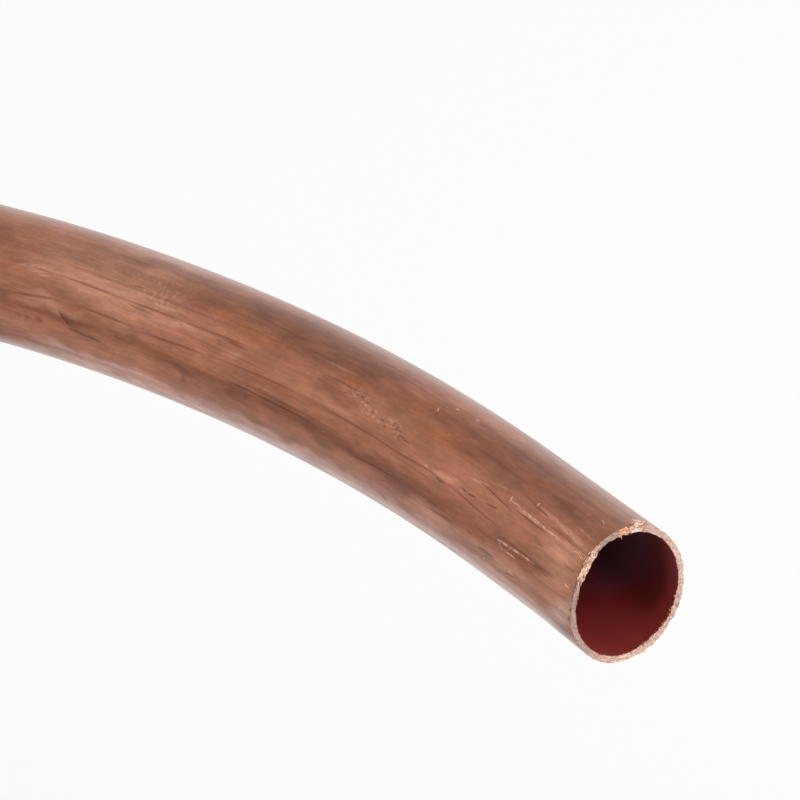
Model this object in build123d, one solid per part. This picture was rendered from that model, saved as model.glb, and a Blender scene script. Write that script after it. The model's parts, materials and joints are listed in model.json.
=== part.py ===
"""Soft copper water tube, sold as a flat coil, with its outer end lifted clear and sawn off.

One length of drawn tube is wound into a flat spiral that lies on the floor. Its outermost half-turn is bent up
about its own tangent, so that the free end stands level above the coil, ready to take a fitting.
The model is in millimetres, +Z up, with its origin on the floor under the middle of its box.
"""

import os
from math import cos, degrees, pi, radians, sin

from build123d import *

# The tube: drawn copper, 22 x 1 mm, in a 3 m coil
tube_diameter = 22.0
wall_thickness = 1.0
tube_length = 3000.0

# The coil: centreline radius of the outermost half-turn, and the gap between neighbouring turns
coil_radius = 320.0
turn_gap = 0.5

# The free end: how steeply its half-turn is lifted, its straight length, and the tilt of its saw cut
tail_lift_angle = 12.0
straight_end_length = 30.0
saw_cut_tilt_angle = 7.0

# The half-turn that the spiral is made of
half_turn_angle = 180.0

tube_radius = tube_diameter / 2
bore_radius = tube_radius - wall_thickness
turn_pitch = tube_diameter + turn_gap

# The lifted half-turn hinges about the tangent at its lower end, on the -X side of the coil
hinge = Vector(-coil_radius, 0, tube_radius)
lift = radians(tail_lift_angle)
towards_free_end = Vector(cos(lift), 0, sin(lift))
tail_centre = hinge + towards_free_end * coil_radius
free_end_bend = tail_centre + towards_free_end * coil_radius
free_end_direction = Vector(0, -1, 0)
free_end = free_end_bend + free_end_direction * straight_end_length


def tube_section(centre):
    """The tube's ring-shaped section in the upright plane through the coil's middle, facing -Y."""
    return Plane(origin=centre, z_dir=free_end_direction) * (Circle(tube_radius) - Circle(bore_radius))


def lifted_half_turn():
    """The outermost half-turn, turned about the tilted axis through its own centre."""
    downward_axis = Axis(tail_centre, Vector(sin(lift), 0, -cos(lift)))
    return revolve(tube_section(hinge), downward_axis, half_turn_angle)


def sawn_straight_end():
    """The short straight stretch at the free end, cut off a little out of square."""
    reach_past_cut = tube_diameter
    blank = extrude(tube_section(free_end_bend), straight_end_length + reach_past_cut)
    tilt = radians(saw_cut_tilt_angle)
    saw_cut = Plane(origin=free_end, z_dir=(0, -cos(tilt), sin(tilt)))
    return split(blank, bisect_by=saw_cut, keep=Keep.BOTTOM)


def flat_half_turns(length):
    """Half-turns of the spiral on the floor, wound inwards from the hinge until the length is used up."""
    half_turns = []
    start_x, side, radius = hinge.X, 1, coil_radius - turn_pitch / 2
    while length > 0:
        centre = Vector(start_x + side * radius, 0, tube_radius)
        arc = min(half_turn_angle, degrees(length / radius))
        section = tube_section(Vector(start_x, 0, tube_radius))
        half_turns.append(revolve(section, Axis(centre, Vector(0, 0, 1)), arc))
        length -= pi * radius
        start_x += side * 2 * radius
        side = -side
        radius -= turn_pitch / 2
    return half_turns


def copper_tube():
    """The whole coil as one solid, moved so that the origin is under the middle of its box."""
    length_on_floor = tube_length - straight_end_length - pi * coil_radius
    stretches = [sawn_straight_end(), *flat_half_turns(length_on_floor)]
    coil = lifted_half_turn().fuse(*stretches).solid()
    box = coil.bounding_box()
    to_origin = Vector(-box.center().X, -box.center().Y, -box.min.Z)
    return coil.moved(Location(to_origin)), to_origin


tube, shift = copper_tube()
tube.label = "copper_tube"
os.makedirs("parts", exist_ok=True)
export_step(tube, "parts/copper_tube.step")

section_area = pi * (tube_radius**2 - bore_radius**2)
print("volume", tube.volume, "section times length", section_area * tube_length)
print("box", tube.bounding_box())
print("free end centre", free_end + shift, "bend end", free_end_bend + shift, "coil centre", shift)
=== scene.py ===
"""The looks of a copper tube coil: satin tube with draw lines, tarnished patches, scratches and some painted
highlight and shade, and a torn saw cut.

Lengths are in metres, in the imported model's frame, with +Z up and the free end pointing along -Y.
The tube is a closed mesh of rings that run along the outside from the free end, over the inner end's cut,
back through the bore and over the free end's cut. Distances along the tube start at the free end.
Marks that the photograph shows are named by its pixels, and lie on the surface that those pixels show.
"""

import json
from math import atan2, cos, pi, radians, sin, tan

import bpy
import numpy as np
from mathutils import Matrix, Vector


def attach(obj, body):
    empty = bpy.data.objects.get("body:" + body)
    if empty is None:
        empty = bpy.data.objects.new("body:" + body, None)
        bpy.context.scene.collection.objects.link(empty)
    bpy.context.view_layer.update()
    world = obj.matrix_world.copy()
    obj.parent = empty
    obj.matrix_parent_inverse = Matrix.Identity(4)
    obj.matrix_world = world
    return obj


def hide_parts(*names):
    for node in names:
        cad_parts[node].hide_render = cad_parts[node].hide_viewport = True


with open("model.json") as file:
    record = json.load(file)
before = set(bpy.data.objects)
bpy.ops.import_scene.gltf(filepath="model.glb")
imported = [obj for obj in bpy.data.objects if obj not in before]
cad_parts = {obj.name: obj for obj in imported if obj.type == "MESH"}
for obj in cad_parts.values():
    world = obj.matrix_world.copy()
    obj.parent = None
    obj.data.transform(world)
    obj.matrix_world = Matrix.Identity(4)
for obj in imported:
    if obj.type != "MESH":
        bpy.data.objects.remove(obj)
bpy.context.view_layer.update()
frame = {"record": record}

# The tube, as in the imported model
millimetre = 0.001
free_end_mount = next(m for m in frame["record"]["mounts"] if m["name"] == "free_end")
tube_radius = free_end_mount["dims"]["r_mm"] * millimetre
wall_thickness = 1.0 * millimetre
bore_radius = tube_radius - wall_thickness
tube_length = 3000 * millimetre
coil_radius = 320 * millimetre
turn_gap = 0.5 * millimetre
tail_lift = radians(12)
straight_end_length = 30 * millimetre
saw_cut_tilt = radians(7)

# The photograph's camera, in pixels of its square frame
photo_size = 800
focal_length_pixels = 10949.6
free_end_pixel = (627.06, 592.64)
camera_distance = 1.7071
camera_azimuth = radians(-35.46)
camera_elevation = radians(31.12)

# The rings: coarse ones along the tube, fine ones at its ends, and a seam opposite the side that is seen
coarse_columns = 128
fine_columns = 384
seam_angle = radians(-46)
random = np.random.default_rng(22)

# Strokes on the outside: first pixel, last pixel and width in pixels
bright_scratches = [
    ((508, 497), (530, 516), 3), ((522, 509), (548, 531), 3.5), ((541, 525), (567, 546), 3),
    ((509, 503), (514, 494), 2.5), ((536, 507), (541, 502), 3), ((496, 538), (514, 551), 3.5),
    ((506, 545), (524, 557), 3.5), ((519, 553), (536, 566), 2.5), ((497, 538), (503, 552), 2),
    ((501, 548), (518, 561), 2), ((496, 561), (516, 577), 2.5), ((602, 519), (605, 525), 2.5),
    ((437, 412), (439, 407), 2.5), ((425, 464), (427, 468), 3), ((456, 408), (460, 411), 2.5),
    ((476, 419), (480, 421), 2.5), ((561, 583), (568, 590), 3.5),
]
# Light streaks: partly wear, partly painted highlight along the band where the tube mirrors the softbox
wear_and_highlight_streaks = [
    ((536, 504), (566, 528), 5), ((552, 516), (592, 552), 6), ((540, 509), (590, 551), 4),
    ((494, 482), (510, 491), 4), ((463, 475), (494, 488), 4), ((508, 500), (556, 538), 5),
    ((316, 356), (366, 380), 5), ((90, 285), (150, 300), 6), ((8, 262), (60, 270), 6),
    ((140, 300), (190, 316), 6), ((570, 520), (600, 546), 4), ((27, 270), (46, 272), 3),
    ((34, 274), (54, 277), 3),
]
# Painted highlight, in bands along the tube near its free end
highlight_bands = [((538, 504), (562, 525), 5), ((550, 515), (576, 540), 6), ((562, 527), (591, 555), 6)]
# The last three are dark specks just behind the rim's outer left edge
dark_scratches_and_specks = [
    ((423, 504), (457, 526), 3.5), ((380, 492), (388, 502), 3), ((477, 478), (520, 519), 3),
    ((513, 507), (548, 535), 3), ((460, 486), (468, 494), 3), ((466, 493), (477, 498), 3),
    ((59, 325), (109, 345), 4.5), ((57, 308), (72, 329), 3.5), ((222, 378), (322, 429), 3),
    ((341, 448), (402, 482), 3), ((233, 383), (263, 398), 3.5), ((434, 476), (446, 484), 3.5),
    ((483, 502), (499, 510), 3), ((474, 543), (498, 561), 3), ((530, 500), (552, 520), 2.5),
    ((396, 432), (412, 446), 2.5), ((572, 595), (570, 603), 3), ((570, 608), (569, 613), 3),
    ((569, 616), (569, 622), 3),
]
smudges = [
    ((531, 537), (545, 549), 6), ((561, 562), (578, 576), 6), ((549, 521), (588, 557), 6),
    ((519, 555), (560, 583), 6), ((13, 312), (23, 317), 6), ((22, 315), (32, 319), 6),
    ((33, 317), (45, 322), 8), ((164, 360), (200, 380), 9), ((182, 366), (187, 390), 8),
    ((218, 387), (245, 405), 12), ((57, 306), (80, 335), 10), ((538, 516), (592, 560), 4),
]
draw_lines = [
    ((2, 256), (62, 277), 3.5), ((48, 271), (132, 302), 3.5), ((108, 293), (202, 329), 3),
    ((178, 320), (258, 351), 4), ((2, 290), (64, 301), 5), ((68, 302), (142, 331), 3.5),
    ((126, 327), (217, 359), 3.5), ((198, 351), (312, 400), 3.5), ((298, 393), (404, 456), 4),
    ((378, 441), (452, 485), 3.5), ((443, 480), (502, 531), 3.5), ((478, 519), (559, 582), 4),
    ((320, 372), (372, 398), 3), ((120, 300), (160, 318), 3), ((220, 338), (252, 352), 4),
]

# Broad patches on the outside, written in the same way
dark_patches = [
    ((234, 294), (354, 354), 24), ((334, 345), (411, 388), 20), ((440, 416), (612, 524), 46),
    ((372, 464), (420, 499), 24), ((100, 331), (160, 352), 14), ((115, 249), (198, 279), 14),
    ((338, 397), (360, 414), 12), ((220, 386), (264, 411), 14), ((250, 398), (334, 434), 16),
    ((300, 425), (390, 478), 18), ((300, 372), (362, 404), 20), ((150, 257), (250, 297), 12),
]
# Light patches: partly lighter tarnished copper, partly painted highlight along the tube's middle and painted
# reflection on its lower side
light_tarnish_and_highlight_patches = [
    ((0, 256), (150, 300), 44), ((60, 262), (168, 292), 24), ((530, 530), (592, 590), 56),
    ((218, 345), (246, 359), 14), ((148, 317), (218, 346), 14), ((440, 515), (566, 606), 26),
    ((416, 462), (470, 495), 14), ((0, 234), (130, 268), 30), ((536, 576), (574, 610), 44),
    ((90, 244), (230, 290), 30), ((0, 290), (90, 322), 24), ((395, 492), (470, 545), 22),
]
orange_patches = [
    ((196, 306), (254, 322), 20), ((220, 321), (304, 354), 24), ((406, 418), (490, 462), 26),
    ((392, 393), (444, 422), 18), ((516, 468), (564, 502), 18), ((336, 370), (376, 394), 18),
    ((146, 278), (204, 302), 18),
]
# Painted reflection: paler patches along the lower flank, where it mirrors the white floor
floor_reflection_patches = [
    ((2, 332), (139, 379), 16), ((49, 347), (226, 416), 16), ((139, 379), (309, 457), 16),
    ((226, 416), (388, 503), 16), ((309, 457), (462, 554), 16), ((388, 503), (537, 609), 16),
    ((462, 554), (575, 637), 16), ((556, 596), (572, 632), 44),
    ((505, 590), (566, 634), 22), ((440, 540), (530, 604), 18),
]
pitted_patches = [((343, 382), (382, 424), 20), ((372, 408), (408, 450), 18)]
chatter_patches = [((557, 537), (595, 567), 10)]
rubbed_patches = [((122, 268), (188, 312), 40)]

# Stretches of the free end's rim, from one pixel to another, and where its lifted strip is rooted
torn_rim = ((575, 583), (598, 552))
hanging_rim = ((620, 536), (634, 529))
smeared_rim = ((632, 529), (642, 526))
raised_rim = ((633, 524), (651, 525))
spiky_rim = ((680, 590), (636, 647))
lumpy_rim = ((652, 643), (592, 658))
right_rim = ((684, 570), (676, 545))
left_rim = ((572, 600), (574, 630))
strip_root = (645, 525)

# Where the free end's wall is pressed out of round: the middle, millimetres outward and degrees around
pressed_places = [((596, 656), 0.50, 46), ((574, 592), -0.48, 24)]


def srgb(red, green, blue):
    """A colour written in 0 to 255 as Blender's linear colour with full alpha."""
    encoded = np.array((red, green, blue)) / 255
    linear = np.where(encoded < 0.04045, encoded / 12.92, ((encoded + 0.055) / 1.055) ** 2.4)
    return (*linear.tolist(), 1.0)


def half_turn_range(angle):
    """The same angle, from half a turn back to half a turn on."""
    return (angle + pi) % (2 * pi) - pi


def add_object(name, data):
    """A new object in the scene."""
    made = bpy.data.objects.new(name, data)
    bpy.context.scene.collection.objects.link(made)
    return made


# Colours of the outside
dull_copper = srgb(138, 87, 65)
drawn_copper = srgb(154, 98, 71)
clean_copper = srgb(168, 109, 82)
rosy_copper = srgb(164, 101, 81)
orange_copper = srgb(174, 102, 66)
light_tarnish_and_highlight_copper = srgb(188, 133, 106)
floor_reflection_copper = srgb(202, 160, 147)
dark_copper = srgb(124, 74, 53)
rubbed_and_highlight_copper = srgb(210, 158, 134)
bared_copper = srgb(224, 168, 141)
line_brown = srgb(106, 63, 46)
smudge_brown = srgb(108, 64, 48)
scratch_brown = srgb(92, 52, 38)

# Colours of the sawn rim, plain and torn, each from painted shade through its tone to painted glint
cut_shade = srgb(172, 140, 126)
cut_tone = srgb(208, 177, 162)
cut_glint = srgb(246, 218, 202)
cut_pink = srgb(240, 198, 184)
torn_shade = srgb(188, 118, 88)
torn_tone = srgb(240, 188, 156)
torn_glint = srgb(255, 234, 214)

# Colours of the bore's film, of the painted shade on its right wall, and of the stage
dark_film = srgb(136, 44, 39)
light_film = srgb(152, 54, 46)
deep_film = srgb(172, 60, 58)
shade_grey_film = srgb(155, 115, 132)
floor_white = srgb(252, 252, 252)
plain_white = srgb(255, 255, 255)

# Scattered marks, one to a cell of this size around and along the tube, and the pitch of the saw's chatter
cells_around = 6
cell_around = 2 * pi * tube_radius / cells_around
cell_along = 26 * millimetre
chatter_pitch = 0.42 * millimetre


# The centreline

class Bend:
    """A bent stretch, about a centre, from its first outward direction towards its heading."""

    def __init__(self, start, centre, outward, heading, radius, roll=0.0):
        self.start, self.centre, self.radius, self.roll = start, centre, radius, roll
        self.outward, self.heading = outward, heading
        self.upward = outward.cross(heading)

    def at(self, distance):
        """(point, side, top, heading) of the centreline there. Side and top don't twist along the tube."""
        turn = (distance - self.start) / self.radius
        outward = self.outward * cos(turn) + self.heading * sin(turn)
        heading = self.heading * cos(turn) - self.outward * sin(turn)
        side = outward * cos(self.roll) + self.upward * sin(self.roll)
        top = self.upward * cos(self.roll) - outward * sin(self.roll)
        return self.centre + outward * self.radius, side, top, heading


def make_bends():
    """The lifted half-turn, then the flat half-turns, each half a pitch smaller than the one before."""
    towards_free_end = Vector((cos(tail_lift), 0, sin(tail_lift)))
    inward = -Vector(free_end_mount["axis"])
    bend_point = Vector(free_end_mount["pos_m"]) + inward * straight_end_length / 2
    centre = bend_point - towards_free_end * coil_radius
    bends = [Bend(straight_end_length, centre, towards_free_end, inward, coil_radius)]
    distance = straight_end_length + pi * coil_radius
    joint, outward, heading = centre - towards_free_end * coil_radius, Vector((-1, 0, 0)), -inward
    radius = coil_radius
    while distance < tube_length:
        radius -= (2 * tube_radius + turn_gap) / 2
        bends.append(Bend(distance, joint - outward * radius, outward, heading, radius, -tail_lift))
        distance += pi * radius
        joint, outward, heading = joint - outward * 2 * radius, -outward, -heading
    return bends


bends = make_bends()
lifted_bend = bends[0]
straight_inward = lifted_bend.heading
free_end = lifted_bend.at(straight_end_length)[0] - straight_inward * straight_end_length


def centreline(distance):
    """(point, side, top, heading) at a distance along the tube from its free end."""
    if distance < straight_end_length:
        point, side, top, heading = lifted_bend.at(straight_end_length)
        return point - heading * (straight_end_length - distance), side, top, heading
    return [bend for bend in bends if bend.start <= distance][-1].at(distance)


# The camera, and where its pixels fall on the tube

view_right = Vector((cos(camera_azimuth), sin(camera_azimuth), 0))
view_away = Vector((-sin(camera_azimuth), cos(camera_azimuth), 0))
view_up = Vector((0, 0, 1)) * cos(camera_elevation) + view_away * sin(camera_elevation)
view_forward = view_away * cos(camera_elevation) - Vector((0, 0, 1)) * sin(camera_elevation)


def pixel_ray(pixel):
    """The direction from the camera through a pixel, one unit deep along the view."""
    across = (pixel[0] - photo_size / 2) / focal_length_pixels
    down = (pixel[1] - photo_size / 2) / focal_length_pixels
    return view_forward + view_right * across - view_up * down


camera_place = free_end - pixel_ray(free_end_pixel) * camera_distance


def tube_place(point):
    """(distance along, angle around, distance from the centreline) of a point near the lifted half-turn."""
    from_centre = point - lifted_bend.centre
    turn = atan2(from_centre.dot(lifted_bend.heading), from_centre.dot(lifted_bend.outward))
    if turn > 0:
        distance = straight_end_length + turn * coil_radius
    else:
        distance = (point - free_end).dot(straight_inward)
    middle, side, top, _ = centreline(distance)
    offset = point - middle
    return distance, atan2(offset.dot(top), offset.dot(side)), offset.length


def pixel_on_tube(pixel):
    """(arc length around from the seen side's middle, distance along) of the place that a pixel shows."""
    steps = 60
    ray = pixel_ray(pixel)
    depth = camera_distance - coil_radius
    for _ in range(steps):
        distance, angle, from_middle = tube_place(camera_place + ray * depth)
        depth += (from_middle - tube_radius) / ray.length
    height = (camera_place + ray * depth - centreline(distance)[0]).z
    return Vector((half_turn_range(angle - seam_angle - pi) * tube_radius, ring_distance(distance, height)))


def ring_distance(distance, height):
    """Which ring passes a place at a height over the centreline: near the end they lean with its cut."""
    if distance > straight_end_length:
        return distance
    set_back = height * tan(saw_cut_tilt)
    return (distance - set_back) / (1 - set_back / straight_end_length)


def stroke_ellipse(first_pixel, last_pixel, pixel_width):
    """(middle, turn, half length, half width) on the unrolled tube of a stroke between two pixels."""
    first, last = pixel_on_tube(first_pixel), pixel_on_tube(last_pixel)
    run = last - first
    aside = Vector((-run.y, run.x)).normalized()
    middle_pixel = (Vector(first_pixel) + Vector(last_pixel)) / 2
    across = Vector((first_pixel[1] - last_pixel[1], last_pixel[0] - first_pixel[0])).normalized()
    edge = pixel_on_tube(middle_pixel - across * pixel_width / 2)
    half_width = abs((edge - pixel_on_tube(middle_pixel)).dot(aside))
    return (first + last) / 2, atan2(run.y, run.x), run.length / 2, half_width


def rim_angle(pixel):
    """The angle around the free end's rim that a pixel lies nearest to."""
    steps = 1440
    mid_wall_radius = tube_radius - wall_thickness / 2
    point, side, top, heading = (np.array(part) for part in centreline(0))
    angles = np.linspace(-pi, pi, steps, endpoint=False)
    spokes = (np.outer(np.cos(angles), side) + np.outer(np.sin(angles), top)) * mid_wall_radius
    rays = point + spokes + np.outer(spokes[:, 2] * tan(saw_cut_tilt), heading) - np.array(camera_place)
    shown = np.column_stack((rays @ np.array(view_right), -(rays @ np.array(view_up)))) * focal_length_pixels
    shown = shown / (rays @ np.array(view_forward))[:, None] + photo_size / 2
    return angles[np.argmin(np.linalg.norm(shown - pixel, axis=1))]


pressed_angles = [rim_angle(pixel) for pixel, _, _ in pressed_places]


def make_camera():
    """The photograph's camera, aimed so that the free end lies on its pixel."""
    camera = bpy.data.cameras.new("camera")
    camera.sensor_width = 36.0
    camera.lens = camera.sensor_width * focal_length_pixels / photo_size
    holder = add_object("camera", camera)
    turn = Matrix((view_right, view_up, -view_forward)).transposed()
    holder.matrix_world = Matrix.Translation(camera_place) @ turn.to_4x4()
    bpy.context.scene.camera = holder


# Rings of points around the tube

def ring_angles(columns):
    """The angle of each column, counted from the seam."""
    return seam_angle + 2 * pi * np.arange(columns) / columns


def ring_points(columns, distance, radius, advance=0.0):
    """One ring. Radius and advance, towards the free end, are numbers or have one for each column."""
    point, side, top, heading = (np.array(part) for part in centreline(distance))
    angles = ring_angles(columns)
    spokes = np.outer(np.cos(angles), side) + np.outer(np.sin(angles), top)
    points = point + spokes * np.broadcast_to(radius, columns)[:, None]
    if distance < straight_end_length:
        share = 1 - distance / straight_end_length
        set_back = (points[:, 2] - point[2]) * tan(saw_cut_tilt) * share
        points = points + np.outer(set_back, heading)
    return points - np.outer(np.broadcast_to(advance, columns), heading)


def ring_noise(smoothing):
    """Random heights around a fine ring that join up, with a spread of one, smoothed over some columns."""
    steps = np.minimum(np.arange(fine_columns), fine_columns - np.arange(fine_columns))
    kernel = np.exp(-((steps / smoothing) ** 2))
    heights = np.fft.ifft(np.fft.fft(random.normal(size=fine_columns)) * np.fft.fft(kernel)).real
    return (heights - heights.mean()) / heights.std()


def shallow_waves(columns, distance):
    """How far the hand-bent tube's wall stands in from true round, for each column of a ring."""
    depth = 0.03 * millimetre
    oval_twist, three_lobe_twist, swell = 31, 53, 17
    angles = ring_angles(columns)
    lobes = np.sin(2 * angles + oval_twist * distance) + np.sin(3 * angles - three_lobe_twist * distance + 1)
    return depth * (lobes - 2) * abs(sin(swell * distance + 2)) * min(distance / straight_end_length, 1)


def flare(columns, distance):
    """How far the wall is pressed out near the free end, or in where negative, for each column of a ring."""
    reach = 9 * millimetre
    pressed = np.zeros(columns)
    for angle, (_, depth, spread) in zip(pressed_angles, pressed_places):
        off_middle = half_turn_range(ring_angles(columns) - angle)
        pressed += depth * millimetre * np.exp(-((off_middle / radians(spread)) ** 2))
    return pressed * np.exp(-((distance / reach) ** 2))


def rim_zone(first_pixel, last_pixel):
    """1 for each fine column of the rim between two pixels and 0 for the others, with soft ends."""
    softness = radians(6)
    first, last = rim_angle(first_pixel), rim_angle(last_pixel)
    half = half_turn_range(last - first) / 2
    off_middle = half_turn_range(ring_angles(fine_columns) - first - half)
    return np.clip((abs(half) - np.abs(off_middle)) / softness + 0.5, 0, 1)


class Rim:
    """One end's sawn rim: how far its lips stand out and in, and how torn it is, for each fine column."""

    def __init__(self, torn, hanging, smeared, raised, spiky, lumpy):
        """The zones are 0 to 1 for each fine column. Each adds millimetres to the lips, and some tear."""
        ragged = np.abs(ring_noise(1.2))
        knobbly = np.abs(ring_noise(4))
        self.outer_lip = millimetre * (
            0.02 * ragged + 0.10 * torn * ragged + 0.10 * smeared * knobbly
            + raised * (0.38 + 0.14 * ragged) + lumpy * (0.02 + 0.07 * knobbly))
        self.inner_lip = millimetre * (
            0.02 * ragged + torn * (0.25 + 0.10 * knobbly) + 0.28 * hanging * knobbly + 0.10 * spiky * ragged)
        self.tear = (0.05 * ragged + 0.50 * torn + 0.35 * hanging + 0.70 * smeared
                     + 0.08 * raised + 0.04 * spiky + 0.05 * lumpy)
        self.depth = millimetre * (0.012 + 0.06 * torn + 0.06 * hanging + 0.03 * spiky + 0.04 * lumpy)

    def edge_fade(self, distance):
        """How much of the lips is left at a distance from the end."""
        reach = 0.5 * millimetre
        return np.exp(-distance / reach)

    def face_heights(self):
        """How far one row of the sawn face stands forward: saw chatter, and deeper where it is torn."""
        return self.depth * (0.6 * ring_noise(1) + 0.7 * ring_noise(3))


# The tube's mesh

class Ring:
    """A ring of vertices: the first one, how many columns, its distance along and its share of the wall."""

    def __init__(self, first, columns, distance, share):
        self.first, self.columns, self.distance, self.share = first, columns, distance, share

    def corners(self, column, coarse):
        """(vertex, share of the way around) of the columns that one coarse column spans."""
        step = self.columns // coarse
        spanned = range(column * step, column * step + step + 1)
        return [(self.first + i % self.columns, i / self.columns, self) for i in spanned]


class TubeMesh:
    """Vertices and faces, with the two maps and the attributes that the materials read."""

    outside, sawn, bore = range(3)
    strip_length = 500 * millimetre

    def __init__(self):
        self.points, self.places, self.tears = [], [], []
        self.faces, self.kinds = [], []
        self.unrolled, self.bake_places = [], []

    def add_points(self, points, angles, radius, distance, tear):
        first = len(self.points)
        self.points.extend(points.tolist())
        along = np.broadcast_to(distance, len(points))
        places = np.column_stack((radius * np.cos(angles), radius * np.sin(angles), along))
        self.places.extend(places.tolist())
        self.tears.extend(np.broadcast_to(tear, len(points)).tolist())
        return first

    def add_ring(self, columns, distance, radius, advance=0.0, tear=0.0, share=0.0):
        points = ring_points(columns, distance, radius, advance)
        first = self.add_points(points, ring_angles(columns), radius, distance, tear)
        return Ring(first, columns, distance, share)

    def add_face(self, kind, vertices, unrolled, bake_places):
        self.kinds.append(kind)
        self.faces.append(vertices)
        self.unrolled.extend(unrolled)
        self.bake_places.extend(bake_places)

    def bridge(self, here, there, kind):
        """The faces between two rings, of which one may have several times the columns of the other."""
        coarse = min(here.columns, there.columns)
        for column in range(coarse):
            corners = here.corners(column, coarse)[::-1] + there.corners(column, coarse)
            unrolled = [(tube_radius * 2 * pi * (way - 0.5), ring.distance) for _, way, ring in corners]
            nearest = min(here.distance, there.distance)
            baked = [self.bake_place(kind, way, ring, nearest) for _, way, ring in corners]
            self.add_face(kind, [vertex for vertex, _, _ in corners], unrolled, baked)

    def bake_place(self, kind, way, ring, nearest):
        """Where a corner lies on the square map: strips of the outside in a row, then the bore and cuts."""
        strip_width, strip_used, map_height, rounding = 0.135, 0.96, 0.99, 1e-6
        bore_left, bore_width = 0.82, 0.08
        free_cut_left, inner_cut_left, cut_width = 0.91, 0.95, 0.03
        if kind == self.outside:
            strip = int(nearest / self.strip_length + rounding)
            across = (strip + strip_used * way) * strip_width
            return across, map_height * (ring.distance / self.strip_length - strip)
        if kind == self.bore:
            return bore_left + bore_width * way, map_height * ring.distance / tube_length
        cut_left = free_cut_left if ring.distance < tube_length / 2 else inner_cut_left
        return cut_left + cut_width * ring.share, map_height * way

    def add_flake(self, angle, radius, lean, length, width, tear):
        """A sliver of torn metal on the rim. Lean is how much it heads outward, around and forward."""
        sections, thickness, sunk = 5, 0.09 * millimetre, 0.11 * millimetre
        outward_tilt, facing_spread, curl_spread = 0.3, 0.4, 0.25
        tip_share, taper_power, unevenness = 0.12, 0.7, (0.7, 1.2)
        point, side, top, heading = (np.array(part) for part in centreline(0))
        spoke = side * cos(angle) + top * sin(angle)
        around = top * cos(angle) - side * sin(angle)
        set_back = radius * spoke[2] * tan(saw_cut_tilt)
        run = lean[0] * spoke + lean[1] * around - lean[2] * heading
        run = run / np.linalg.norm(run)
        facing = outward_tilt * spoke - heading + random.normal(0, facing_spread, 3)
        breadth = np.cross(run, facing)
        breadth = breadth / np.linalg.norm(breadth)
        curl = np.cross(run, breadth) * random.normal(0, curl_spread)
        root = point + radius * spoke + (set_back + sunk) * heading
        points = []
        for way in np.linspace(0, 1, sections):
            middle = root + length * (way * run + way * way * curl)
            taper = (1 - way) ** taper_power * (1 - tip_share) * random.uniform(*unevenness) + tip_share
            flat = breadth * width / 2 * taper
            thick = np.cross(run, breadth) * thickness / 2 * (1 - way / 2)
            points.extend([middle - flat - thick, middle + flat - thick])
            points.extend([middle + flat + thick, middle - flat + thick])
        first = self.add_points(np.array(points), np.full(len(points), angle), radius, 0.0, tear)
        way_around = half_turn_range(angle - seam_angle - pi) / (2 * pi) + 0.5
        for section in range(sections - 1):
            for corner in range(4):
                here, there = first + 4 * section, first + 4 * section + 4
                after = (corner + 1) % 4
                self.add_flake_face([here + corner, here + after, there + after, there + corner], way_around)
        self.add_flake_face([first + 3, first + 2, first + 1, first], way_around)
        last = first + 4 * sections - 4
        self.add_flake_face([last, last + 1, last + 2, last + 3], way_around)

    def add_flake_face(self, vertices, way_around):
        """A flake's face lies on a small square of the map, beside its place on the rim."""
        left, width, height = 0.985, 0.01, 0.004
        square = ((0, 0), (1, 0), (1, 1), (0, 1))
        unrolled = [(tube_radius * 2 * pi * (way_around - 0.5), 0.0)] * len(square)
        baked = [(left + width * x, way_around + height * y) for x, y in square]
        self.add_face(self.sawn, vertices, unrolled, baked)

    def make(self, name, materials):
        """The finished piece, with flat shading on its sawn faces."""
        mesh = bpy.data.meshes.new(name)
        mesh.from_pydata(self.points, [], self.faces)
        for material in materials:
            mesh.materials.append(material)
        kinds = np.array(self.kinds, np.int32)
        mesh.polygons.foreach_set("material_index", kinds)
        mesh.polygons.foreach_set("use_smooth", kinds != self.sawn)
        places = mesh.attributes.new("straightened", "FLOAT_VECTOR", "POINT")
        places.data.foreach_set("vector", np.array(self.places, np.float32).ravel())
        tears = mesh.attributes.new("tear", "FLOAT", "POINT")
        tears.data.foreach_set("value", np.array(self.tears, np.float32))
        for map_name, corners in (("unrolled", self.unrolled), ("OFBake", self.bake_places)):
            layer = mesh.uv_layers.new(name=map_name)
            layer.data.foreach_set("uv", np.array(corners, np.float32).ravel())
        return add_object(name, mesh)


# Where fine rings lie, from an end, and how much of the tube the photograph shows
end_distances = np.array([0, 0.35, 0.8, 1.6, 3.2]) * millimetre
seen_length = 140 * millimetre


def coarse_distances():
    """Where coarse rings lie: close together where the photograph shows the tube, and evenly beyond that."""
    gap, seen_step, even_step = 2 * millimetre, 3 * millimetre, 15 * millimetre
    first, last = end_distances[-1] + gap, tube_length - end_distances[-1] - gap
    seen = np.arange(first, seen_length, seen_step)
    strips = np.arange(TubeMesh.strip_length, tube_length, TubeMesh.strip_length)
    between = [seen]
    for start, end in zip([seen_length, *strips], [*strips, last]):
        count = max(2, round((end - start) / even_step))
        between.append(np.linspace(start, end, count, endpoint=False))
    return np.concatenate([*between, [last]])


def sawn_rows(mesh, distance, rim, outward):
    """Rings across the sawn face, between the bore's edge and the outside's edge, in either order."""
    rows = 9
    forward = 1 if distance == 0 else -1
    rings = []
    for share in np.linspace(0, 1, rows)[1:-1]:
        share = share if outward else 1 - share
        inner, outer = bore_radius - rim.inner_lip, tube_radius + rim.outer_lip
        radius = inner + (outer - inner) * share + flare(fine_columns, distance)
        heights = forward * rim.face_heights()
        rings.append(mesh.add_ring(fine_columns, distance, radius, heights, rim.tear, share))
    return rings


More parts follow.
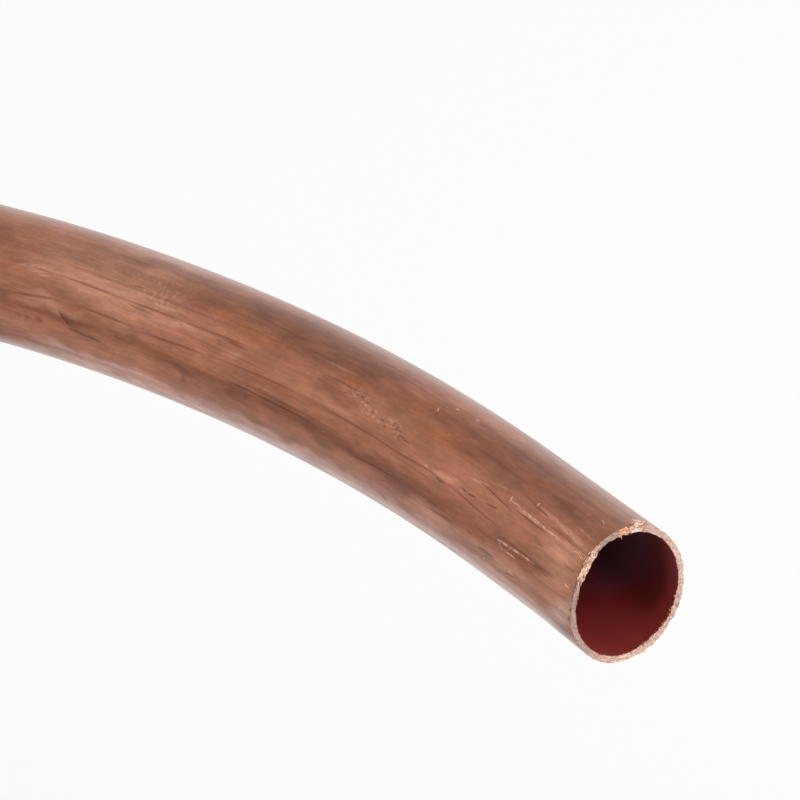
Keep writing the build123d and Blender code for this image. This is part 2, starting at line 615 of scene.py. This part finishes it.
def make_tube(copper, cut, bore):
    """The whole tube, with its torn free end and its plain inner end."""
    raggedness = 0.08 * millimetre
    torn_stretches = (torn_rim, hanging_rim, smeared_rim, raised_rim, spiky_rim, lumpy_rim)
    plain = np.zeros(fine_columns)
    free_rim = Rim(*[rim_zone(*stretch) for stretch in torn_stretches])
    inner_rim = Rim(*[plain for _ in torn_stretches])
    mesh = TubeMesh()

    def wall(columns, distance, radius):
        return radius + shallow_waves(columns, distance) + flare(columns, distance)

    def end_rings(rim, from_end, base_radius, lip):
        rings = []
        for from_edge in end_distances:
            distance = from_edge if from_end == 0 else tube_length - from_edge
            radius = wall(fine_columns, distance, base_radius) + lip * rim.edge_fade(from_edge)
            ragged = raggedness * ring_noise(1.5) * rim.edge_fade(4 * from_edge)
            tear = rim.tear * (from_edge == 0)
            share = float(base_radius == tube_radius)
            rings.append(mesh.add_ring(fine_columns, distance, radius, ragged, tear, share))
        return rings

    def long_rings(base_radius):
        return [mesh.add_ring(coarse_columns, distance, wall(coarse_columns, distance, base_radius))
                for distance in coarse_distances()]

    outside = [*end_rings(free_rim, 0, tube_radius, free_rim.outer_lip),
               *long_rings(tube_radius),
               *end_rings(inner_rim, tube_length, tube_radius, inner_rim.outer_lip)[::-1]]
    inner_face = sawn_rows(mesh, tube_length, inner_rim, outward=False)
    inside = [*end_rings(inner_rim, tube_length, bore_radius, -inner_rim.inner_lip),
              *long_rings(bore_radius)[::-1],
              *end_rings(free_rim, 0, bore_radius, -free_rim.inner_lip)[::-1]]
    free_face = sawn_rows(mesh, 0, free_rim, outward=True)
    stretches = [(outside, mesh.outside), ([outside[-1], *inner_face, inside[0]], mesh.sawn),
                 (inside, mesh.bore), ([inside[-1], *free_face, outside[0]], mesh.sawn)]
    for rings, kind in stretches:
        for here, there in zip(rings, rings[1:]):
            mesh.bridge(here, there, kind)
    add_flakes(mesh)
    return mesh.make("tube", [copper, cut, bore])


def add_flakes(mesh):
    """Slivers along the free end's rim, and the thin strip that stands on its raised lip."""
    # How many, where, at what share of the wall, their lean, and ranges of length, width and tear
    stretches = [
        (30, torn_rim, 0.60, (0.05, 1.0, 0.25), (0.7, 1.7), (0.18, 0.40), (0.20, 1.0)),
        (12, torn_rim, 0.15, (-0.7, 0.7, 0.35), (0.4, 0.9), (0.14, 0.30), (0.25, 0.9)),
        (14, hanging_rim, 0.15, (-1.0, 0.5, 0.25), (0.3, 0.8), (0.18, 0.42), (0.20, 0.6)),
        (10, smeared_rim, 0.60, (0.2, 1.0, 0.25), (0.4, 1.0), (0.25, 0.50), (0.60, 1.0)),
        (12, raised_rim, 0.85, (0.5, 1.0, 0.20), (0.3, 0.8), (0.15, 0.32), (0.0, 0.15)),
        (9, raised_rim, 0.95, (0.45, 1.0, -0.30), (0.9, 1.6), (0.30, 0.50), (0.0, 0.12)),
        (60, spiky_rim, 0.02, (-1.0, 0.3, 0.20), (0.25, 0.65), (0.07, 0.18), (0.0, 0.60)),
        (24, lumpy_rim, 0.90, (0.5, 0.9, 0.10), (0.12, 0.34), (0.12, 0.26), (0.0, 0.25)),
        (24, lumpy_rim, 0.02, (-1.0, 0.3, 0.20), (0.15, 0.40), (0.07, 0.16), (0.0, 0.60)),
        (14, right_rim, 0.90, (0.6, 0.8, 0.15), (0.10, 0.30), (0.10, 0.20), (0.0, 0.25)),
        (12, left_rim, 0.90, (0.5, 0.9, 0.10), (0.10, 0.28), (0.08, 0.16), (0.0, 0.20)),
    ]
    root_spread, root_range, lean_spread = 0.15, (0.06, 0.92), 0.2
    for count, (first_pixel, last_pixel), share, lean, lengths, widths, tears in stretches:
        first = rim_angle(first_pixel)
        span = half_turn_range(rim_angle(last_pixel) - first)
        for _ in range(count):
            angle = first + span * random.uniform()
            rooted = np.clip(share + random.normal(0, root_spread), *root_range)
            radius = bore_radius + wall_thickness * rooted + flare_at(angle)
            heading = np.array(lean) * (1, random.choice((-1, 1)), 1) + random.normal(0, lean_spread, 3)
            length = random.uniform(*lengths) * millimetre
            width = random.uniform(*widths) * millimetre
            mesh.add_flake(angle, radius, heading, length, width, random.uniform(*tears))
    strip_radius, strip_lean = tube_radius + 0.3 * millimetre, (0.1, 1.0, -0.3)
    strip_length, strip_width, strip_tear = 2.4 * millimetre, 0.6 * millimetre, 0.05
    mesh.add_flake(rim_angle(strip_root), strip_radius, strip_lean, strip_length, strip_width, strip_tear)


def flare_at(angle):
    """The free end's flare at one angle."""
    column = round(half_turn_range(angle - seam_angle - pi) / (2 * pi) * fine_columns + fine_columns / 2)
    return flare(fine_columns, 0)[column % fine_columns]


# Materials

class Shader:
    """The node tree of a material or world, with short calls for the nodes used here."""

    def __init__(self, holder):
        self.holder = holder
        holder.use_nodes = True
        self.tree = holder.node_tree

    def feed(self, socket, value):
        """Links an output to a socket, or sets the socket to a plain value."""
        if isinstance(value, bpy.types.NodeSocket):
            self.tree.links.new(value, socket)
        else:
            socket.default_value = value

    def node(self, kind, inputs, **settings):
        made = self.tree.nodes.new("ShaderNode" + kind)
        for name, value in settings.items():
            setattr(made, name, value)
        for name, value in inputs.items():
            self.feed(made.inputs[name], value)
        return made

    def set(self, node_name, **inputs):
        """Feeds the inputs of one of the tree's own nodes."""
        for name, value in inputs.items():
            self.feed(self.tree.nodes[node_name].inputs[name.replace("_", " ")], value)

    def math(self, operation, first, second=0.0, third=0.0):
        return self.node("Math", {0: first, 1: second, 2: third}, operation=operation).outputs[0]

    def times(self, first, second, plus=0.0):
        return self.math("MULTIPLY_ADD", first, second, plus)

    def vector(self, operation, first, second=(0.0, 0.0, 0.0)):
        return self.node("VectorMath", {0: first, 1: second}, operation=operation).outputs[0]

    def dot(self, first, second):
        return self.node("VectorMath", {0: first, 1: second}, operation="DOT_PRODUCT").outputs["Value"]

    def part(self, vector, axis):
        return self.node("SeparateXYZ", {"Vector": vector}).outputs[axis]

    def attribute(self, name, output):
        return self.node("Attribute", {}, attribute_name=name).outputs[output]

    def straightened(self):
        """The place on the straightened tube: aside, up and along."""
        return self.attribute("straightened", "Vector")

    def unrolled(self):
        """(arc length around, distance along) on the outside."""
        return self.node("UVMap", {}, uv_map="unrolled").outputs["UV"]

    def noise(self, across, along, detail=2.0, roughness=0.5, offset=0.0, output="Fac"):
        """Noise from 0 to 1 on the straightened tube, with features of these millimetres across and along."""
        sizes = np.array((1 / across, 1 / across, 1 / along)) / millimetre
        place = self.vector("MULTIPLY", self.straightened(), sizes.tolist())
        place = self.vector("ADD", place, (offset, offset, offset))
        inputs = {"Vector": place, "Scale": 1.0, "Detail": detail, "Roughness": roughness}
        return self.node("TexNoise", inputs).outputs[output]

    def remap(self, value, low, high, to_low=0.0, to_high=1.0, curve="SMOOTHSTEP"):
        inputs = {"Value": value, "From Min": low, "From Max": high, "To Min": to_low, "To Max": to_high}
        return self.node("MapRange", inputs, interpolation_type=curve).outputs["Result"]

    def mix(self, factor, first, second, mode="MIX"):
        inputs = {"Fac": factor, "Color1": first, "Color2": second}
        return self.node("MixRGB", inputs, blend_type=mode).outputs["Color"]

    def scaled(self, colour, value, low, high, to_low, to_high):
        """A colour times a grey that follows a value."""
        return self.mix(1.0, colour, self.remap(value, low, high, to_low, to_high), "MULTIPLY")

    def ramp(self, value, *stops):
        """A colour ramp through (place, colour) stops."""
        made = self.node("ValToRGB", {"Fac": value})
        while len(made.color_ramp.elements) < len(stops):
            made.color_ramp.elements.new(1.0)
        for element, (place, colour) in zip(made.color_ramp.elements, stops):
            element.position, element.color = place, colour
        return made.outputs["Color"]

    def bump(self, height, depth):
        """A normal that follows a height from 0 to 1 over a depth."""
        return self.node("Bump", {"Height": height, "Strength": 0.5, "Distance": depth}).outputs["Normal"]

    def frayed(self, size, amount):
        """The unrolled place, pushed about by noise of a size, so that strokes get uneven edges."""
        push = self.noise(size, size, detail=1.0, output="Color")
        push = self.vector("SUBTRACT", push, (0.5, 0.5, 0.5))
        push = self.vector("MULTIPLY", push, (2 * amount, 2 * amount, 0.0))
        return self.vector("ADD", self.unrolled(), push)

    def round_fade(self, place):
        """1 at the middle of a unit circle, fading to 0 at its edge."""
        return self.node("TexGradient", {"Vector": place}, gradient_type="SPHERICAL").outputs["Fac"]

    def strokes(self, place, marks, strength=1.0):
        """How much the given strokes cover a place. Each is a long ellipse that fades from its middle."""
        cover = 0.0
        for mark in marks:
            middle, turn, half_length, half_width = stroke_ellipse(*mark)
            inputs = {"Vector": place, "Location": (*middle, 0.0), "Rotation": (0.0, 0.0, turn),
                      "Scale": (half_length, half_width, 1.0)}
            local = self.node("Mapping", inputs, vector_type="TEXTURE").outputs[0]
            cover = self.times(self.round_fade(local), strength, cover)
        return cover

    def cover(self, place, marks, full_at, most=1.0):
        """How much strokes hide what is below, up to the most, where they add up to full."""
        return self.remap(self.strokes(place, marks), 0.0, full_at, 0.0, most)

    def scattered(self, place, around, along, length, width, seed):
        """Strokes of these millimetres, one to a cell of the unrolled map, faint or bold by chance."""
        most_turn, stray = 0.3, (0.5, 0.5, 0.0)
        cells = self.vector("MULTIPLY", place, (1 / around, 1 / along, 0.0))
        cell = self.vector("ADD", self.vector("FLOOR", cells), (seed, seed, seed))
        chances = self.node("TexWhiteNoise", {"Vector": cell}).outputs
        middle = self.vector("SUBTRACT", chances["Color"], (0.5, 0.5, 0.5))
        middle = self.vector("MULTIPLY", middle, stray)
        local = self.vector("SUBTRACT", self.vector("FRACTION", cells), (0.5, 0.5, 0.0))
        local = self.vector("MULTIPLY", self.vector("SUBTRACT", local, middle), (around, along, 0.0))
        turn = self.times(chances["Value"], 2 * most_turn, -most_turn)
        turned = self.node("VectorRotate", {"Vector": local, "Angle": turn}, rotation_type="Z_AXIS")
        shape = (2 / (width * millimetre), 2 / (length * millimetre), 0.0)
        fade = self.round_fade(self.vector("MULTIPLY", turned.outputs[0], shape))
        return self.times(fade, self.remap(chances["Value"], 0.3, 1.0, 0.0, 2.0))


def new_material(name):
    return Shader(bpy.data.materials.new(name))


def tarnish_and_painted_light(shader, place):
    """The outside's colour in broad patches: rosy, orange, light, pale and dark. The light ones are partly
    painted highlight, and the pale ones are painted reflection of the floor.
    """
    patches = shader.noise(8, 30, detail=3.0, roughness=0.55)
    colour = shader.ramp(patches, (0.34, dull_copper), (0.50, drawn_copper), (0.66, clean_copper))
    rosy = shader.remap(shader.noise(6, 22, offset=5.0), 0.45, 0.70, 0.0, 0.55)
    colour = shader.mix(rosy, colour, rosy_copper)
    orange = shader.remap(shader.noise(7, 35, offset=7.0), 0.52, 0.72, 0.0, 0.45)
    orange = shader.math("MAXIMUM", orange, shader.cover(place, orange_patches, full_at=0.8, most=0.7))
    colour = shader.mix(orange, colour, orange_copper)
    colour = shader.mix(shader.cover(place, light_tarnish_and_highlight_patches, full_at=0.9, most=0.7), colour, light_tarnish_and_highlight_copper)
    colour = shader.mix(shader.cover(place, floor_reflection_patches, full_at=0.9, most=0.75), colour, floor_reflection_copper)
    return shader.mix(shader.cover(place, dark_patches, full_at=0.6, most=0.56), colour, dark_copper)


def with_draw_lines(shader, colour, place):
    """The colour with dark lines along the tube, some by chance and some where the photograph has them."""
    lines = shader.remap(shader.noise(1.1, 55, detail=1.0, offset=11.0), 0.63, 0.74, 0.0, 0.40)
    placed_lines = shader.remap(shader.strokes(place, draw_lines), 0.05, 0.7, 0.0, 0.65)
    return shader.mix(shader.math("MAXIMUM", lines, placed_lines), colour, line_brown)


def with_soft_marks(shader, colour, fine_place, broad_place, broken, pitted):
    """The colour with dark smudges, and over them light streaks, bands, rubs and chips. The bands are painted
    highlight, and the streaks are partly painted highlight.
    """
    colour = shader.mix(shader.cover(fine_place, smudges, full_at=0.9, most=0.5), colour, smudge_brown)
    streaks = shader.cover(fine_place, wear_and_highlight_streaks, full_at=0.9, most=0.45)
    bands = shader.cover(fine_place, highlight_bands, full_at=0.8, most=0.6)
    light = shader.math("MAXIMUM", streaks, bands)
    light = shader.times(light, shader.remap(broken, 0.0, 1.0, 0.45, 1.0))
    rubs = shader.remap(shader.noise(0.9, 0.7, detail=3.0, offset=29.0), 0.46, 0.66, 0.0, 0.35)
    light = shader.times(rubs, shader.cover(broad_place, rubbed_patches, full_at=0.6), light)
    chips = shader.remap(shader.noise(0.6, 0.9, offset=27.0), 0.50, 0.64, 0.0, 0.32)
    light = shader.times(chips, pitted, light)
    return shader.mix(light, colour, rubbed_and_highlight_copper)


def dark_marks(shader, fine_place, line_place, pitted):
    """How much dark scratches, flecks and pits cover the outside."""
    marks = shader.scattered(fine_place, cell_around, cell_along, length=7, width=0.4, seed=3.0)
    flecks = shader.scattered(fine_place, cell_around / 3, cell_along / 5, length=1.4, width=0.24, seed=57.0)
    marks = shader.times(flecks, 0.4, marks)
    marks = shader.math("ADD", marks, shader.strokes(line_place, dark_scratches_and_specks, strength=1.8))
    marks = shader.remap(marks, 0.1, 1.0)
    specks = shader.noise(0.5, 0.8, offset=23.0)
    pits = shader.remap(shader.times(pitted, 0.17, specks), 0.74, 0.80)
    return shader.math("MAXIMUM", marks, pits)


def bright_marks(shader, fine_place, broken):
    """How much bright scratches, flecks and the saw's chatter cover the outside."""
    marks = shader.scattered(fine_place, cell_around, 1.7 * cell_along, length=3.5, width=0.28, seed=41.0)
    flecks = shader.scattered(fine_place, cell_around / 3, cell_along / 4, length=1.0, width=0.22, seed=73.0)
    marks = shader.times(flecks, 0.25, marks)
    marks = shader.math("ADD", marks, shader.strokes(fine_place, bright_scratches, strength=1.7))
    waves = shader.times(shader.part(fine_place, "Y"), 2 * pi / chatter_pitch)
    ridges = shader.remap(shader.math("SINE", waves), -0.2, 0.8)
    chatter = shader.times(shader.strokes(fine_place, chatter_patches, strength=1.8), ridges)
    marks = shader.remap(shader.math("ADD", marks, chatter), 0.15, 1.1)
    return shader.times(marks, shader.remap(broken, 0.0, 1.0, 0.15, 1.0))


def copper_material():
    """Satin drawn copper: tarnished patches and streaks with painted highlight and reflection among them,
    draw lines, soft marks, scratches and pits.
    """
    shader = new_material("copper")
    broad_place = shader.frayed(6, 2.2 * millimetre)
    fine_place = shader.frayed(1.2, 0.14 * millimetre)
    line_place = shader.frayed(5, 0.15 * millimetre)
    broken = shader.remap(shader.noise(0.3, 0.9, detail=3.0, offset=31.0), 0.40, 0.60)
    pitted = shader.cover(broad_place, pitted_patches, full_at=0.5)
    dark = dark_marks(shader, fine_place, line_place, pitted)
    bright = bright_marks(shader, fine_place, broken)

    broad_streaks = shader.noise(2.6, 20, detail=3.0, offset=3.0)
    thin_streaks = shader.noise(0.9, 14, detail=3.0, roughness=0.6, offset=13.0)
    hair_streaks = shader.noise(0.3, 4, detail=2.0, offset=19.0)
    mottle = shader.noise(1.8, 4.4, detail=4.0, roughness=0.65, offset=17.0)
    grain = shader.noise(0.35, 0.9, roughness=0.6)
    colour = tarnish_and_painted_light(shader, broad_place)
    colour = shader.scaled(colour, broad_streaks, 0.32, 0.68, 0.88, 1.11)
    colour = shader.scaled(colour, thin_streaks, 0.32, 0.68, 0.93, 1.06)
    colour = shader.scaled(colour, hair_streaks, 0.30, 0.70, 0.93, 1.07)
    colour = shader.scaled(colour, mottle, 0.32, 0.68, 0.88, 1.11)
    colour = shader.scaled(colour, grain, 0.30, 0.70, 0.95, 1.05)
    colour = with_draw_lines(shader, colour, line_place)
    colour = with_soft_marks(shader, colour, fine_place, broad_place, broken, pitted)
    colour = shader.mix(shader.times(dark, 0.65), colour, scratch_brown)
    colour = shader.mix(shader.times(bright, 0.9), colour, bared_copper)

    roughness = shader.remap(broad_streaks, 0.3, 0.7, 0.28, 0.38)
    height = shader.times(grain, 0.25, shader.times(thin_streaks, 0.5))
    height = shader.times(dark, -0.8, height)
    height = shader.times(bright, 0.8, height)
    shader.set("Principled BSDF", Base_Color=colour, Metallic=1.0, Roughness=roughness,
               Normal=shader.bump(height, 0.05 * millimetre), Coat_Weight=0.4, Coat_Roughness=0.25)
    return shader.holder


def cut_material():
    """The sawn rim: bare copper, paler than the tarnished outside, and bright peach where it is torn, with
    painted shade and painted glint in both.
    """
    shader = new_material("sawn_copper")
    marks = shader.noise(0.4, 0.4, detail=4.0, roughness=0.7)
    plain = shader.ramp(marks, (0.36, cut_shade), (0.5, cut_tone), (0.64, cut_glint))
    pink = shader.remap(shader.noise(3, 3, offset=9.0), 0.45, 0.65, 0.0, 0.5)
    plain = shader.mix(pink, plain, cut_pink)
    # Painted light and shade: the plain rim lighter towards its lower right and darker towards its upper
    # left, as the camera sees it
    towards_lit_side = shader.dot(shader.straightened(), (1.0, -1.0, 0.0))
    plain = shader.scaled(plain, towards_lit_side, -tube_radius, tube_radius, 0.78, 1.2)
    tear = shader.attribute("tear", "Fac")
    # The torn colours run with the tear from painted shade through the torn metal's tone to painted glint
    torn = shader.ramp(tear, (0.22, torn_shade), (0.48, torn_tone), (0.80, torn_glint))
    colour = shader.mix(shader.remap(tear, 0.12, 0.36), plain, torn)
    roughness = shader.remap(tear, 0.1, 0.6, 0.45, 0.28)
    shader.set("Principled BSDF", Base_Color=colour, Metallic=1.0, Roughness=roughness,
               Normal=shader.bump(marks, 0.1 * millimetre))
    return shader.holder


def bore_material():
    """The bore's dull red film. Near the free end it is redder further in, and its right wall is dim and grey
    with painted shade.
    """
    shader = new_material("bore_oxide_and_shade")
    film = shader.ramp(shader.noise(6, 30, detail=3.0), (0.3, dark_film), (0.7, light_film))
    place = shader.straightened()
    aside, along = shader.part(place, "X"), shader.part(place, "Z")
    deep = shader.remap(along, 3 * millimetre, 17 * millimetre)
    colour = shader.mix(deep, film, deep_film)
    # Painted shade: the right wall greyer further in, and dimmer there, down to half as bright, from a few
    # millimetres in
    shaded_side = shader.times(deep, 6 * millimetre, shader.times(aside, 0.8))
    grey = shader.remap(shaded_side, 6 * millimetre, 13 * millimetre)
    colour = shader.mix(grey, colour, shade_grey_film)
    right = shader.remap(aside, 2 * millimetre, 8 * millimetre)
    inside = shader.remap(along, 0.5 * millimetre, 5 * millimetre)
    colour = shader.scaled(colour, shader.times(right, inside), 0.0, 1.0, 1.0, 0.5)
    near = shader.remap(along, 40 * millimetre, 80 * millimetre, 1.0, 0.0)
    shader.set("Principled BSDF", Base_Color=shader.mix(near, film, colour), Metallic=0.0, Roughness=0.5)
    return shader.holder


# The stage

def make_floor():
    """A pale floor that keeps the tube's shadow, and that the copper mirrors as plain white."""
    half, white_share_seen = 4.0, 0.65
    corners = [(-half, -half, 0), (half, -half, 0), (half, half, 0), (-half, half, 0)]
    mesh = bpy.data.meshes.new("floor")
    mesh.from_pydata(corners, [], [(0, 1, 2, 3)])
    shader = new_material("floor")
    shader.set("Principled BSDF", Base_Color=floor_white, Roughness=0.9)
    rays = shader.node("LightPath", {}).outputs
    white_share = shader.math("MAXIMUM", rays["Is Glossy Ray"], rays["Is Transmission Ray"])
    white_share = shader.times(rays["Is Camera Ray"], white_share_seen, white_share)
    white = shader.node("Emission", {"Color": plain_white, "Strength": 1.0}).outputs[0]
    shaded = shader.tree.nodes["Principled BSDF"].outputs[0]
    mixed = shader.node("MixShader", {0: white_share, 1: shaded, 2: white}).outputs[0]
    shader.set("Material Output", Surface=mixed)
    mesh.materials.append(shader.holder)
    floor = add_object("floor", mesh)


def make_surround(horizon, zenith, behind_camera):
    """A white surround, a little dimmer overhead and a good deal dimmer behind the camera."""
    shader = Shader(bpy.data.worlds.new("surround"))
    direction = shader.node("TexCoord", {}).outputs["Generated"]
    strength = shader.remap(shader.part(direction, "Z"), 0.0, 1.0, horizon, zenith, curve="LINEAR")
    share = shader.remap(shader.dot(direction, view_away), -1.0, -0.3, behind_camera, 1.0)
    shader.set("Background", Color=plain_white, Strength=shader.times(strength, share))
    bpy.context.scene.world = shader.holder


def make_softbox(name, aside, elevation, energy):
    """A broad softbox, in a level direction and at an elevation from the free end."""
    width, height, away = 3.0, 1.6, 2.0
    light = bpy.data.lights.new(name, "AREA")
    light.shape = "RECTANGLE"
    light.size, light.size_y = width, height
    light.energy = energy
    holder = add_object(name, light)
    towards = aside * cos(elevation) + Vector((0, 0, 1)) * sin(elevation)
    holder.location = free_end + towards * away
    holder.rotation_euler = towards.to_track_quat("Z", "Y").to_euler()
    holder.visible_camera = False


def make_lights():
    """The surround, a softbox on the left that the seen side mirrors, and a stronger one high in front."""
    left = -(view_right + 0.25 * view_away).normalized()
    before_end = Vector((0.7, -1, 0)).normalized()
    make_surround(horizon=1.08, zenith=0.64, behind_camera=0.1)
    make_softbox("side_softbox", left, elevation=radians(38), energy=4.5)
    make_softbox("front_softbox", before_end, elevation=radians(52), energy=20.0)


tube = make_tube(copper_material(), cut_material(), bore_material())
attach(tube, "root")
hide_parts("copper_tube")
make_floor()
make_lights()
make_camera()
bpy.context.scene.view_settings.view_transform = "Standard"
